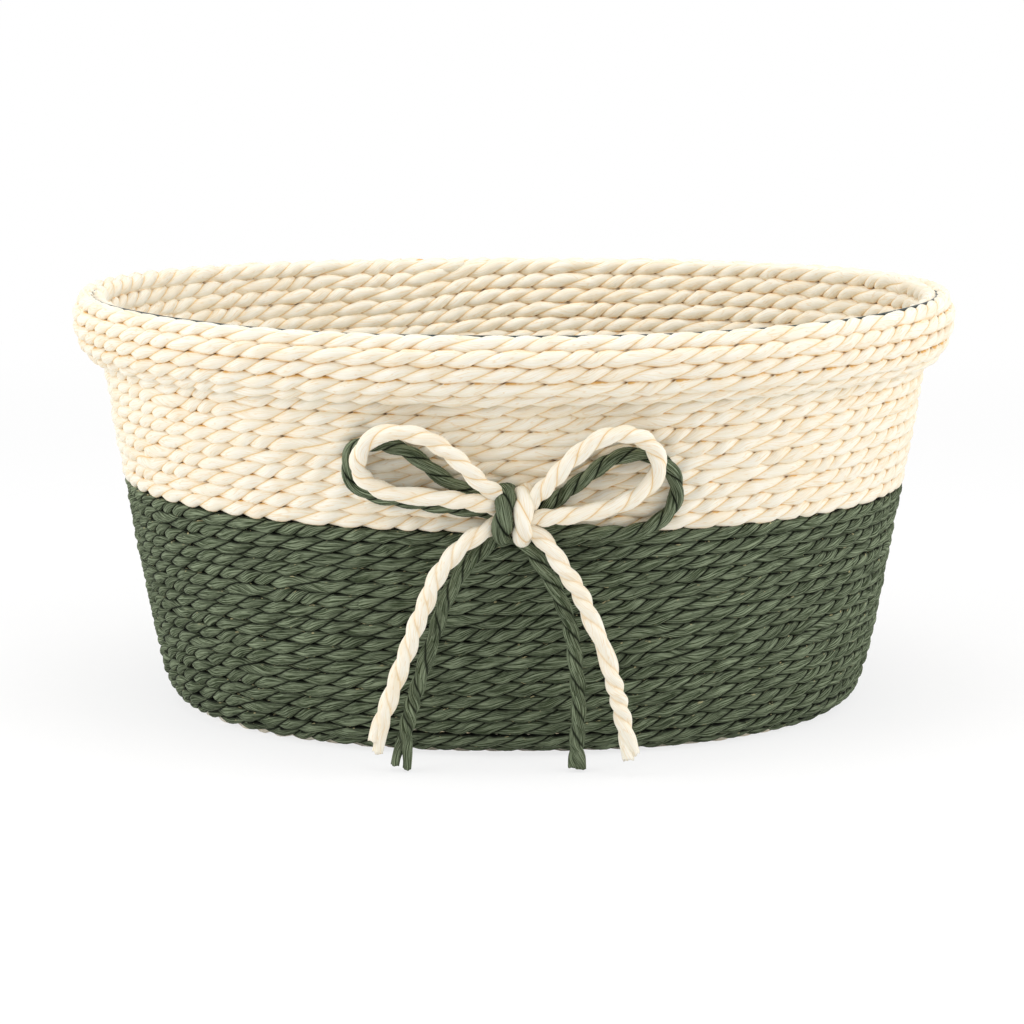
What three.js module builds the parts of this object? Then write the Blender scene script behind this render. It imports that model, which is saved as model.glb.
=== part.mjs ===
import * as THREE from "three";

// Paper rope storage basket, in millimetres. +Z is up, the bow faces -Y, and the floor is z = 0.
// One spiral of rope runs out over the base, up the leaning wall and over the lip into a rolled rim.

// Driving dimensions
const RIM_WIDTH = 337; // across the rolled rim, along X
const RIM_DEPTH = 297.5; // across the rolled rim, along Y
const WALL_LEAN = 10.2; // outward lean of the wall, degrees from upright
const GREEN_PITCH = 5.16; // row spacing of the green rope and of the base
const CREAM_PITCH = 5.67; // row spacing of the cream rope
const RIM_PITCH = 5.7; // row spacing down the rolled rim
const GREEN_TURNS = 17; // rows of green rope
const CREAM_TURNS = 14; // rows of cream rope up to the lip
const RIM_TURNS = 4; // rows of the rolled rim
const ROPE_GAP = 0.95; // clear space between neighbouring turns
const CORNER_RADIUS = 9; // bend from the base up into the wall
const RIM_SWELL = 3.2; // how much further out the middle rows of the rolled rim stand
const RIM_FALL = 2; // first row of the rolled rim below the wall's top row
const LIP_DIP = 2.5; // front and back of the lip below its two ends
const WIRE_DIAMETER = 1.2; // coated wire along the lip
const CREAM_CORD = 6.5; // bow rope, cream
const GREEN_CORD = 5.7; // bow rope, green
const KNOT_HEIGHT = 22; // wraps of the knot
const KNOT_RISE = 7.5; // knot centre above the colour change
const GREEN_WRAP = 6.6; // width of the green wrap
const CREAM_WRAP = 6.9; // width of the cream wrap
const MIDDLE_SLIT = 0.15; // innermost reach of the base's first turn
const MIDDLE_SHARPNESS = 6; // how late the first turns bend into their ends
const OVAL_SHARPNESS = 1.5; // the same for the wall, near that of an ellipse
const SEAT = 0.35; // clearance between touching pieces

// Counts of the faceted rope and cords
const STEPS = 20;
const CORD_SIDES = 8;

// Derived sizes
const lean = THREE.MathUtils.degToRad(WALL_LEAN);
const strip = (RIM_WIDTH - RIM_DEPTH) / 2;
const greenHalf = (GREEN_PITCH - ROPE_GAP) / 2;
const creamHalf = (CREAM_PITCH - ROPE_GAP) / 2;
const floorHalf = GREEN_PITCH / 2;
const rimStand = 2 * creamHalf + SEAT;
const cornerTurn = Math.PI / 2 - lean;
const cornerLength = CORNER_RADIUS * cornerTurn;
const greenStart = ROPE_GAP;
const creamStart = greenStart + GREEN_TURNS * GREEN_PITCH;
const wallEnd = creamStart + (CREAM_TURNS - 1) * CREAM_PITCH;
const wallLength = wallEnd - cornerLength;
const rimLength = (RIM_TURNS - 1) * RIM_PITCH;
const rimMiddle = RIM_FALL + rimLength / 2;
const rimReach = RIM_DEPTH / 2 - creamHalf;
const lipReach =
  rimReach -
  (rimStand + RIM_SWELL) * Math.cos(lean) +
  rimMiddle * Math.sin(lean);
const wallFootReach = lipReach - wallLength * Math.sin(lean);
const wallFootHeight = floorHalf + CORNER_RADIUS * (1 - Math.cos(cornerTurn));
const footReach = wallFootReach - CORNER_RADIUS * Math.sin(cornerTurn);
const lipHeight = wallFootHeight + wallLength * Math.cos(lean);
const baseTurns = Math.round(footReach / GREEN_PITCH) - 0.25;
const basePitch = footReach / baseTurns;
const facet = (1 + 1 / Math.cos(Math.PI / STEPS)) / 2;
const endTrim = (1.5 * SEAT * STEPS) / (Math.PI * RIM_DEPTH);

// Reach from the middle strip and height of the rope's centre, at a length along the base and wall
function wallProfile(along) {
  if (along < 0) {
    return [footReach + along, floorHalf];
  }
  if (along < cornerLength) {
    const turn = along / CORNER_RADIUS;
    return [
      footReach + CORNER_RADIUS * Math.sin(turn),
      floorHalf + CORNER_RADIUS * (1 - Math.cos(turn)),
    ];
  }
  const climb = along - cornerLength;
  return [
    wallFootReach + climb * Math.sin(lean),
    wallFootHeight + climb * Math.cos(lean),
  ];
}

// The same for the rolled rim, at a length down from its first row
function rimProfile(along) {
  const swell = Math.sin((Math.PI * along) / rimLength);
  const out = rimStand + RIM_SWELL * swell;
  const fall = RIM_FALL + along;
  return [
    lipReach + out * Math.cos(lean) - fall * Math.sin(lean),
    lipHeight - out * Math.sin(lean) - fall * Math.cos(lean),
  ];
}

// Oval plan: a straight strip in the middle of the base, opening into near an ellipse at the wall
function stretch(cosine, reach) {
  const open = THREE.MathUtils.clamp(reach / footReach, 0, 1);
  const sharpness = THREE.MathUtils.lerp(MIDDLE_SHARPNESS, OVAL_SHARPNESS, open);
  return (strip * Math.tanh(sharpness * cosine)) / Math.tanh(sharpness);
}

function dip(height, angle) {
  return (LIP_DIP * height * Math.sin(angle) ** 2) / lipHeight;
}

function onOval(angle, reach, height) {
  return new THREE.Vector3(
    stretch(Math.cos(angle), reach) + reach * Math.cos(angle),
    reach * Math.sin(angle),
    height - dip(height, angle),
  );
}

// Closed tube through rings of corner points, with flat ends
function tubeOf(rings, closed) {
  const sides = rings[0].length;
  const last = closed ? rings.length : rings.length - 1;
  const corners = rings.flat().flatMap((p) => [p.x, p.y, p.z]);
  const faces = [];
  for (let i = 0; i < last; i++) {
    const next = (i + 1) % rings.length;
    for (let k = 0; k < sides; k++) {
      const a = i * sides + k;
      const b = i * sides + ((k + 1) % sides);
      const c = next * sides + k;
      const d = next * sides + ((k + 1) % sides);
      faces.push(a, d, b, a, c, d);
    }
  }
  if (!closed) {
    const far = (rings.length - 1) * sides;
    for (let k = 1; k < sides - 1; k++) {
      faces.push(0, k, k + 1, far, far + k + 1, far + k);
    }
  }
  const geometry = new THREE.BufferGeometry();
  geometry.setAttribute(
    "position",
    new THREE.Float32BufferAttribute(corners, 3),
  );
  geometry.setIndex(faces);
  return geometry;
}

// Angle and profile length at steps round the oval, clockwise, from a first step to a last one.
// A level row climbs to the next in its last step, at the back, and a free row climbs all the way round.
function rows(pitch, first, last, level) {
  return Array.from({ length: last - first + 1 }, (_, i) => {
    const step = first + i === last ? last - endTrim : first + i;
    const row = Math.floor(step / STEPS);
    const part = step / STEPS - row;
    const jump = Math.max(0, part * STEPS - (STEPS - 1));
    const share = level(row);
    return {
      angle: Math.PI / 2 - (step * 2 * Math.PI) / STEPS,
      along: pitch * (row + (1 - share) * part + share * jump),
    };
  });
}

// Rope section: corners given along the profile and across it
function ringAt(profile, { angle, along }, section) {
  const [reach, height] = profile(along);
  const [r1, h1] = profile(along - 0.05);
  const [r2, h2] = profile(along + 0.05);
  const size = Math.hypot(r2 - r1, h2 - h1);
  const forward = [(r2 - r1) / size, (h2 - h1) / size];
  return section.map(([s, n]) => {
    const r = s * forward[0] + n * forward[1];
    const h = s * forward[1] - n * forward[0];
    const clear = Math.max(reach + r, MIDDLE_SLIT);
    return onOval(angle, clear * facet, height + h);
  });
}

// Least clear space between neighbouring turns, on points along the rope's centre
function leastGap(profile, path, width) {
  const points = [];
  for (let i = 0; i + 1 < path.length; i++) {
    const [a, b] = [path[i], path[i + 1]].map((p) =>
      onOval(p.angle, ...profile(p.along)),
    );
    for (let k = 0; k < 4; k++) {
      points.push(a.clone().lerp(b, k / 4));
    }
  }
  const apart = Math.round(2.4 * STEPS);
  let least = Infinity;
  points.forEach((p, i) => {
    for (let j = i + apart; j < points.length; j++) {
      least = Math.min(least, p.distanceTo(points[j]));
    }
  });
  return least - width;
}

const basket = new THREE.Group();

function add(name, geometry, colour, roughness = 0.85) {
  geometry.computeVertexNormals();
  const material = new THREE.MeshStandardMaterial({ color: colour, roughness });
  const mesh = new THREE.Mesh(geometry, material);
  mesh.name = name;
  basket.add(mesh);
}

const CREAM = "#f0e2c4";
const GREEN = "#4d5c47";
const WIRE = "#2c3634";

const flatSection = [
  [-greenHalf, -floorHalf],
  [greenHalf, -floorHalf],
  [greenHalf, floorHalf],
  [-greenHalf, floorHalf],
];

function edgeSection(half) {
  return [
    [-half, 0],
    [0, -half],
    [half, 0],
    [0, half],
  ];
}

// One length of rope, wound round the oval, with its least gap printed
function addCoil(name, profile, path, section, half, colour) {
  const rings = path.map((p) => ringAt(profile, p, section));
  const gap = leastGap(profile, path, 2 * half);
  add(name, tubeOf(rings, false), colour);
  console.log(name + " least gap to itself", gap.toFixed(2));
}

const shifted = (profile, start) => (along) => profile(start + along);
const free = () => 0;
const settling = (row) => row / (CREAM_TURNS - 1);
const flat = () => 1;
const baseSteps = baseTurns * STEPS;

addCoil(
  "base_coil",
  shifted(wallProfile, -footReach - basePitch / 4),
  rows(basePitch, STEPS / 2 - 1, baseSteps + STEPS / 4, free),
  flatSection,
  greenHalf,
  CREAM,
);
addCoil(
  "green_wall_coil",
  shifted(wallProfile, greenStart),
  rows(GREEN_PITCH, 0, GREEN_TURNS * STEPS, free),
  edgeSection(greenHalf),
  greenHalf,
  GREEN,
);
addCoil(
  "cream_wall_coil",
  shifted(wallProfile, creamStart),
  rows(CREAM_PITCH, 0, CREAM_TURNS * STEPS - 2, settling),
  edgeSection(creamHalf),
  creamHalf,
  CREAM,
);
addCoil(
  "rim_roll_coil",
  rimProfile,
  rows(RIM_PITCH, 0, RIM_TURNS * STEPS - 1, flat),
  edgeSection(creamHalf),
  creamHalf,
  CREAM,
);

// Wire hoop in the valley between the wall's top row and the first row of the rolled rim
const wireOut = rimStand / 2;
const wireUp = Math.SQRT2 * (WIRE_DIAMETER / 2 + SEAT) + creamHalf - wireOut;
const wireReach = lipReach + wireOut * Math.cos(lean);
const wireHeight = lipHeight - wireOut * Math.sin(lean) + wireUp;
const wireRings = Array.from({ length: STEPS }, (_, i) => {
  const angle = Math.PI / 2 + (i * 2 * Math.PI) / STEPS;
  return Array.from({ length: 6 }, (_, k) => {
    const turn = (k * Math.PI) / 3;
    return onOval(
      angle,
      (wireReach + (WIRE_DIAMETER / 2) * Math.cos(turn)) * facet,
      wireHeight + (WIRE_DIAMETER / 2) * Math.sin(turn),
    );
  });
});
add("rim_wire", tubeOf(wireRings, true), WIRE, 0.5);

// Bow: two ropes tied together, whose loops lean on the wall and whose tails hang to the floor
const knotHeight = wallProfile(creamStart)[1] + KNOT_RISE;
const ridge = creamHalf / Math.cos(lean);

// Y of the wall's face at the front, outside or inside, at a place across and a height
function wallFace(across, height, side) {
  const level = height + dip(height, Math.PI / 2);
  const slope = lipReach + (level - lipHeight) * Math.tan(lean);
  const reach = (slope + side * ridge) * facet;
  let low = -1;
  let high = 1;
  for (let i = 0; i < 40; i++) {
    const middle = (low + high) / 2;
    const short = stretch(middle, reach) + reach * middle < across;
    low = short ? middle : low;
    high = short ? high : middle;
  }
  return -reach * Math.sqrt(1 - low * low);
}

function leaning(lift) {
  return ([across, up]) => {
    const height = knotHeight + up * Math.cos(lean);
    const face = wallFace(across, height, Math.sign(lift));
    return new THREE.Vector3(across, face - lift / Math.cos(lean), height);
  };
}

function hanging(lift) {
  const plane = wallFace(0, knotHeight, 1) - lift / Math.cos(lean);
  return ([across, share]) =>
    new THREE.Vector3(across, plane, share * knotHeight);
}

function addCord(name, route, place, diameter, steps, colour) {
  const round = new THREE.Shape(
    Array.from({ length: CORD_SIDES }, (_, k) => {
      const turn = ((k + 0.5) * 2 * Math.PI) / CORD_SIDES;
      return new THREE.Vector2(Math.cos(turn), Math.sin(turn)).multiplyScalar(
        diameter / 2,
      );
    }),
  );
  const path = new THREE.CatmullRomCurve3(route.map(place));
  add(
    name,
    new THREE.ExtrudeGeometry(round, {
      steps,
      extrudePath: path,
      bevelEnabled: false,
    }),
    colour,
  );
}

const greenLift = GREEN_CORD / 2 + SEAT;
const creamLift = GREEN_CORD + CREAM_CORD / 2 + 3 * SEAT;

// Loops, as places across and up the wall from the middle of the knot
const CREAM_LOOP_LEFT = [
  [-7.4, 9.3],
  [-9.6, 9.4],
  [-13.8, 14.9],
  [-24.2, 24.6],
  [-34, 29.6],
  [-44.1, 30.2],
  [-51, 26],
  [-54.2, 19.5],
  [-52.4, 13.4],
  [-46.5, 9.1],
  [-35, 7.3],
  [-22.2, 6.2],
  [-15, 4.4],
  [-9.6, 1.3],
  [-7.4, 1.2],
];
const GREEN_LOOP_LEFT = [
  [-7.4, 7.2],
  [-9.6, 7.4],
  [-15.3, 8.7],
  [-21.6, 11.3],
  [-34.5, 20.8],
  [-44.6, 24.6],
  [-53, 24.4],
  [-57.7, 19.8],
  [-57.4, 12.4],
  [-52.5, 7.4],
  [-43, 4.8],
  [-29.4, 3.2],
  [-15.4, 1.5],
  [-9.6, 1],
  [-7.4, 0.9],
];
const CREAM_LOOP_RIGHT = [
  [7.4, 7.7],
  [9.6, 7.8],
  [14.2, 14.8],
  [20.5, 21.8],
  [28, 27.4],
  [36.9, 29.8],
  [45, 27.6],
  [50, 21],
  [49.2, 13.8],
  [43, 7.4],
  [33, 3],
  [22, 0.9],
  [12.3, -0.4],
  [9.6, -0.7],
  [7.4, -0.8],
];
const GREEN_LOOP_RIGHT = [
  [7.4, 2.4],
  [9.6, 2.5],
  [15.9, 6.3],
  [26.8, 14.4],
  [34, 19.4],
  [41.6, 21.4],
  [49.5, 19.8],
  [55.5, 14],
  [56.9, 6],
  [54, -1],
  [47, -6],
  [36, -7.7],
  [24, -6.8],
  [12.6, -5.6],
  [9.6, -4.8],
  [7.4, -4.7],
];

// Tails, as places across and shares of the knot's height
const CREAM_TAIL_LEFT = [
  [-7.4, 0.938],
  [-9.6, 0.937],
  [-14.1, 0.918],
  [-20.6, 0.862],
  [-26, 0.79],
  [-31, 0.665],
  [-36, 0.526],
  [-41.1, 0.374],
  [-45, 0.256],
  [-48.7, 0.117],
];
const GREEN_TAIL_LEFT = [
  [-7.4, 0.905],
  [-9.6, 0.904],
  [-13, 0.845],
  [-18.6, 0.772],
  [-23.7, 0.674],
  [-27.6, 0.552],
  [-31.1, 0.435],
  [-36, 0.262],
  [-38.6, 0.13],
  [-40, 0.013],
];
const CREAM_TAIL_RIGHT = [
  [7.4, 0.913],
  [9.6, 0.912],
  [13.2, 0.872],
  [20, 0.758],
  [25.5, 0.645],
  [30.6, 0.521],
  [34.2, 0.39],
  [37.3, 0.27],
  [41.5, 0.063],
];
const GREEN_TAIL_RIGHT = [
  [7.4, 0.872],
  [9.6, 0.871],
  [11.4, 0.802],
  [16.1, 0.675],
  [20, 0.538],
  [22, 0.388],
  [22.7, 0.27],
  [22.3, 0.122],
  [22.3, 0.016],
];

// Short stretches inside the wall, behind the knot, where the ropes come through between two rows
const CREAM_TIE = [
  [-11, 4.5],
  [0, 4.5],
  [11, 4.5],
];
const GREEN_TIE = [
  [-11, -4.5],
  [0, -4.5],
  [11, -4.5],
];

const onCream = leaning(creamLift);
const onGreen = leaning(greenLift);
addCord("cream_loop_left", CREAM_LOOP_LEFT, onCream, CREAM_CORD, 10, CREAM);
addCord("green_loop_left", GREEN_LOOP_LEFT, onGreen, GREEN_CORD, 10, GREEN);
addCord("cream_loop_right", CREAM_LOOP_RIGHT, onCream, CREAM_CORD, 10, CREAM);
addCord("green_loop_right", GREEN_LOOP_RIGHT, onGreen, GREEN_CORD, 10, GREEN);

const offCream = hanging(creamLift);
const offGreen = hanging(greenLift);
addCord("cream_tail_left", CREAM_TAIL_LEFT, offCream, CREAM_CORD, 7, CREAM);
addCord("green_tail_left", GREEN_TAIL_LEFT, offGreen, GREEN_CORD, 7, GREEN);
addCord("cream_tail_right", CREAM_TAIL_RIGHT, offCream, CREAM_CORD, 7, CREAM);
addCord("green_tail_right", GREEN_TAIL_RIGHT, offGreen, GREEN_CORD, 7, GREEN);

const inCream = leaning(-CREAM_CORD / 2 - 4 * SEAT);
const inGreen = leaning(-GREEN_CORD / 2 - 4 * SEAT);
addCord("cream_tie_inside", CREAM_TIE, inCream, CREAM_CORD, 2, CREAM);
addCord("green_tie_inside", GREEN_TIE, inGreen, GREEN_CORD, 2, GREEN);

// Wraps of the knot: upright turns of rope drawn tight over the crossing ropes
const knotDepth = creamLift + CREAM_CORD / 2 + SEAT;
const knotLeft = -(GREEN_WRAP + CREAM_WRAP + SEAT) / 2;
const wrapSide = new THREE.Shape();
wrapSide.moveTo(0, -0.4 * KNOT_HEIGHT);
wrapSide.lineTo(0.15 * knotDepth, -0.5 * KNOT_HEIGHT);
wrapSide.lineTo(0.62 * knotDepth, -0.5 * KNOT_HEIGHT);
wrapSide.quadraticCurveTo(knotDepth, -0.5 * KNOT_HEIGHT, knotDepth, 0);
wrapSide.quadraticCurveTo(
  knotDepth,
  0.5 * KNOT_HEIGHT,
  0.62 * knotDepth,
  0.5 * KNOT_HEIGHT,
);
wrapSide.lineTo(0.15 * knotDepth, 0.5 * KNOT_HEIGHT);
wrapSide.lineTo(0, 0.4 * KNOT_HEIGHT);

function addWrap(name, left, width, up, colour) {
  const geometry = new THREE.ExtrudeGeometry(wrapSide, {
    depth: width,
    bevelEnabled: false,
    curveSegments: 4,
  });
  const outward = new THREE.Vector3(0, -Math.cos(lean), -Math.sin(lean));
  const upward = new THREE.Vector3(0, -Math.sin(lean), Math.cos(lean));
  const seat = leaning(SEAT)([0, up]);
  const stand = new THREE.Matrix4()
    .makeBasis(outward, upward, new THREE.Vector3(-1, 0, 0))
    .setPosition(left + width, seat.y, seat.z);
  add(name, geometry.applyMatrix4(stand), colour);
}

addWrap("green_knot_wrap", knotLeft, GREEN_WRAP, 1.4, GREEN);
addWrap(
  "cream_knot_wrap",
  knotLeft + GREEN_WRAP + SEAT,
  CREAM_WRAP,
  0.3,
  CREAM,
);

export default basket;
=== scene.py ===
"""Paper rope storage basket.

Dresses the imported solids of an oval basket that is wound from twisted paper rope: a base, a green and a
cream wall, a rolled rim over a coated wire, and a bow of two ropes. Lengths in the formulas are in
millimetres, and meshes are written in metres.
"""

import math
from types import SimpleNamespace

import bpy
import numpy as np
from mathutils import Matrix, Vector


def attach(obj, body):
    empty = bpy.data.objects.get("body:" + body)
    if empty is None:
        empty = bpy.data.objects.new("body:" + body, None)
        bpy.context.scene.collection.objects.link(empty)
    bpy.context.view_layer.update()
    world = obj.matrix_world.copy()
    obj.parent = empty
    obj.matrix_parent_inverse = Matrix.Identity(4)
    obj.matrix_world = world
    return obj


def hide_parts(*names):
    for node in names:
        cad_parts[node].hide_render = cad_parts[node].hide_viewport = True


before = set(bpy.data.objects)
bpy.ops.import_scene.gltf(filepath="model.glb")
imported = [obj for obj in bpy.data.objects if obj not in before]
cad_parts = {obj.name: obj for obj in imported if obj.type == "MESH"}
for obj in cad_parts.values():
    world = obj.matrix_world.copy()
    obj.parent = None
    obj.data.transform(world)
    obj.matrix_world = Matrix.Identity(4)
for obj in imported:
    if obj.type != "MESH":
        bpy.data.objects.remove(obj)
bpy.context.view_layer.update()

bl_info = {
    "name": "Paper rope basket",
    "version": (1, 0, 0),
    "blender": (4, 5, 0),
    "location": "3D View > Sidebar > Basket",
    "description": "Winds the rope of an oval paper basket and ties its bow",
    "category": "Add Mesh",
}

MM = 0.001

# Rope section: offset and radius of two round strands, as shares of the rope's radius, in rows and free
ROW_STRANDS = 0.35, 0.67
FREE_STRANDS = 0.26, 0.76
# How much closer together the columns of a section lie at its grooves
CROWDING = 0.25
# Rows press on each other: rope radius as a share of the pitch, and width kept over the meeting line
ROW_RADIUS = 0.55
ROW_OVERLAP = 1.15
# Slow wander: spacing of its values along a rope in millimetres, and their spread. The twist's spread is in
# radians, the thickness's is a share, and those of rows, outwards and along the wall, and wire in millimetres
TWIST_DRIFT = 21, 0.75
THICKNESS_DRIFT = 14, 0.045
OUTWARD_DRIFT = 40, 0.16
ALONG_DRIFT = 55, 0.06
WIRE_DRIFT = 30, 0.12
# Seeds of the wander; ropes of the bow count on from theirs by a step
BASE_SEED = 11
WIRE_SEED = 41
GREEN_SEED = 101
CREAM_SEED = 201
RIM_SEED = 301
LOOP_SEED = 401
TAIL_SEED = 501
WRAP_SEED = 601
TIE_SEED = 651
SEED_STEP = 10
# Number that sets the paper of a rope's second strand apart from that of its first
STRAND_NUMBER = 37.0
# Columns of mesh across a strand, round a strand with a cut end, and round the wire
STRAND_COLUMNS = 8
TUBE_COLUMNS = 14
WIRE_COLUMNS = 10
# Steps in half a lay of a coil, how much coarser they are in the base, and steps in half a lay of a bow rope,
# in a turn of the oval and along the roll's section
HALF_LAY_STEPS = 9
BASE_COARSE = 1.5
BOW_STEPS = 12
TURN_STEPS = 720
ROLL_STEPS = 400
# Points along a bow rope's route before they are evened, round a wrap, and along a cord as it is declared
ROUTE_POINTS = 1200
WRAP_POINTS = 60
# Halvings that find a place on the wall, and the fewest steps of a path
HALVINGS = 40
LEAST_STEPS = 8
# Order of a quad's corners that turns it over
TURNED_OVER = [0, 3, 2, 1]
# Share of the lay's slope at which paper fibres cross a strand
FIBRE_SLANT = 0.69
# How late the turns bend into the ends of the oval: in the middle of the base and at the wall
MIDDLE_SHARPNESS = 6.0
OVAL_SHARPNESS = 1.5
# The back of the oval begins at this sine of the angle and is full after this much more; the front eases by
# this power of it
BACK_FROM = -0.55
BACK_EASE = 0.9
FRONT_POWER = 6
# Part of a turn at which the base's spiral starts
BASE_START = 0.25
# Part of a level row, at the back, in which the rope climbs to the next row
CLIMB_SHARE = 0.05
# Parts of a turn by which the rim's rope starts early and the ropes' last rows stop short, so that their
# ends lie inside a climbing stretch
RIM_EARLY = 0.045
LIP_END = 0.02
# Wire in the valley of the lip: share of the rim's stand, height over the lip at the front, drop at the back,
# length of its steps in millimetres, and the power that eases its wander to nothing where it closes
WIRE_OUT = 0.5
WIRE_UP = 0.7
WIRE_DROP = 2.0
WIRE_STEP = 1.3
WIRE_CLOSE = 0.2
# Wall rows that keep the cream pitch; the wider ones above them lie behind the rolled rim
EVEN_ROWS = 8
# Share by which the base's turns lie further out beside the middle of the front
BASE_PUSH = 0.022
# At the front, the bend from base to wall is drawn towards its corner by a share, its rows are turned
# upright by a share, and rows sag by a length in millimetres, most at one row
CORNER_PUSH = 0.2
CORNER_UPRIGHT = 0.8
FRONT_SAG = 1.5
SAG_ROW = 4
# How far the wall swells at the ends of the oval, in millimetres
WALL_SWELL = 1.5
# Facets of the solid wall, which the bow is seated on
WALL_FACETS = 20
# How far from its middle the knot draws the ropes in, in millimetres, and by what share of their lift
KNOT_DRAW = 15
KNOT_SINK = 0.8
# Power of the chord lengths over which a bow rope's curve is drawn
CHORD_POWER = 0.7
# Cut ends: share of the opened length that untwists, twist that is left there, breadth of the groove round
# a strand, share of it that is lost in the opened end, and the power by which the cut turns ragged
UNTWIST_PART = 0.7
UNTWIST_SHARE = 0.35
TUBE_GROOVE = 0.72
OPEN_GROOVE = 0.7
CUT_POWER = 4
# Soft lights: place, aim and size in metres, and power in watts
LAMPS = {
    "left": ((-1.3, -0.5, 0.8), (0, 0, 0.07), 1.2, 11.2),
    "right": ((1.3, -0.5, 0.8), (0, 0, 0.07), 1.2, 10.8),
    "top": ((0.0, -0.2, 1.5), (0, 0, 0), 1.1, 8.0),
}
# Even light of the surround
SURROUND_LIGHT = 0.5
# Camera: place and aim in metres, lens and sensor in millimetres
CAMERA_PLACE = 0, -1.2831, 0.2887
CAMERA_AIM = -0.0008, 0, 0.0701
CAMERA_LENS = 117.2
CAMERA_SENSOR = 36
# Floor: radii of its rings and where it fades into white, in metres, its sides, and how much of it glows
FLOOR_RADII = 0.3, 0.6, 1.0, 2.0, 6.0, 30.0, 60.0
FLOOR_FADE = 0.4, 1.2
FLOOR_SIDES = 64
FLOOR_GLOW = 0.76
WHITE = 1, 1, 1, 1


def length_property(name, description, default_mm):
    """A length in the sidebar, given in millimetres."""
    return bpy.props.FloatProperty(
        name=name,
        description=description,
        default=default_mm * MM,
        min=0.0,
        unit="LENGTH",
        precision=4,
    )


def colour_property(name, description, code):
    """A colour in the sidebar, given as an sRGB hex value."""
    return bpy.props.FloatVectorProperty(
        name=name,
        description=description,
        subtype="COLOR",
        size=3,
        min=0.0,
        max=1.0,
        default=linear(code)[:3],
    )


def linear(code):
    """An sRGB hex value as linear red, green, blue and alpha."""
    parts = np.array([int(code[i : i + 2], 16) for i in (1, 3, 5)]) / 255
    values = np.where(parts <= 0.04045, parts / 12.92, ((parts + 0.055) / 1.055) ** 2.4)
    return (*(float(v) for v in values), 1.0)


class BasketSizes(bpy.types.PropertyGroup):
    """Sizes of the wound basket and of its bow."""

    rim_width: length_property("Rim width", "Across the rolled rim, along X", 337)
    rim_depth: length_property("Rim depth", "Across the rolled rim, along Y", 297.5)
    wall_lean: bpy.props.FloatProperty(
        name="Wall lean",
        description="Outward lean of the wall from upright",
        default=math.radians(10.2),
        subtype="ANGLE",
    )
    green_pitch: length_property("Green pitch", "Row spacing of green rope and base", 5.16)
    cream_pitch: length_property("Cream pitch", "Row spacing of the cream rope", 5.67)
    rim_pitch: length_property("Rim pitch", "Row spacing down the rolled rim", 5.7)
    green_turns: bpy.props.IntProperty(name="Green rows", description="Rows of green rope", default=17)
    cream_turns: bpy.props.IntProperty(name="Cream rows", description="Rows up to the lip", default=14)
    rim_turns: bpy.props.IntProperty(name="Rim rows", description="Rows of the rolled rim", default=4)
    rope_gap: length_property("Rope gap", "Space that the solids leave between turns", 0.95)
    corner_radius: length_property("Corner radius", "Bend from base to wall", 9)
    rim_swell: length_property("Rim swell", "How far the middle of the rim swells", 3.2)
    rim_fall: length_property("Rim fall", "First rim row below the top row", 2)
    lip_dip: length_property("Lip dip", "Front and back of the lip below its ends", 2.5)
    wire: length_property("Wire", "Diameter of the coated wire", 1.2)
    cream_cord: length_property("Cream bow rope", "Diameter of the cream rope of the bow", 6.5)
    green_cord: length_property("Green bow rope", "Diameter of the green rope of the bow", 5.7)
    knot_height: length_property("Knot height", "Height of the knot's wraps", 22)
    knot_rise: length_property("Knot rise", "Knot centre above the colour change", 7.5)
    seat: length_property("Seat", "Clearance between touching solids", 0.35)
    roll_rows: bpy.props.IntProperty(name="Roll rows", description="Rows laid on the rolled rim", default=5)
    roll_top: length_property("Roll top", "First row of the roll below the lip of the solids", 1.2)
    roll_drop: length_property("Roll drop", "First to last row of the rolled rim", 19.6)
    lip_sink: length_property("Lip sink", "Lip row below the lip of the solids, at the front", 3.9)
    lip_rise: length_property("Lip rise", "Lip row at the back above its height at the front", 1.4)
    wall_rise: length_property("Wall rise", "Rows of the wall above those of the solids", 1.2)
    green_lay: length_property("Green lay", "Length of one full twist of the green rope", 20.8)
    cream_lay: length_property("Cream lay", "Length of one full twist of the cream rope", 23.6)
    bow_lay: length_property("Bow lay", "Length of one full twist of the bow's ropes", 19.4)


class BasketColours(bpy.types.PropertyGroup):
    """Colours of the paper and of the wire."""

    cream: colour_property("Cream", "Body of the cream paper", "#f7f0dd")
    cream_light: colour_property("Cream light", "Pale fibres of the cream paper", "#fdf8ec")
    # Painted shade in the grooves between strands, and also the tone of the cream paper's random patches,
    # thin creases and flecks
    cream_crease: colour_property("Cream crease", "Grooves of the cream rope", "#e6bb6a")
    # Painted shade in the seams where cream rows meet
    cream_seam: colour_property("Cream seam", "Lines where cream rows meet", "#dfab57")
    # Darker painted shade in the notches where cream seams and grooves meet
    cream_deep: colour_property("Cream deep", "Notches between cream rows", "#7d511d")
    green: colour_property("Green", "Body of the green paper", "#39432e")
    green_light: colour_property("Green light", "Pale fibres of the green paper", "#939f82")
    # Near black painted shade in the grooves between strands, and also the tone of the green paper's random
    # patches and thin creases
    green_crease: colour_property("Green crease", "Grooves of the green rope", "#0f140a")
    # Near black painted shade in the seams where green rows meet and in their notches
    green_deep: colour_property("Green deep", "Notches between green rows", "#050704")
    fleck: colour_property("Fleck", "Undyed paper that shows in the green rope", "#bcb184")
    wire: colour_property("Wire", "Coating of the rim wire", "#2a3836")
    floor: colour_property("Floor", "Studio floor", "#f2f2f2")


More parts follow.
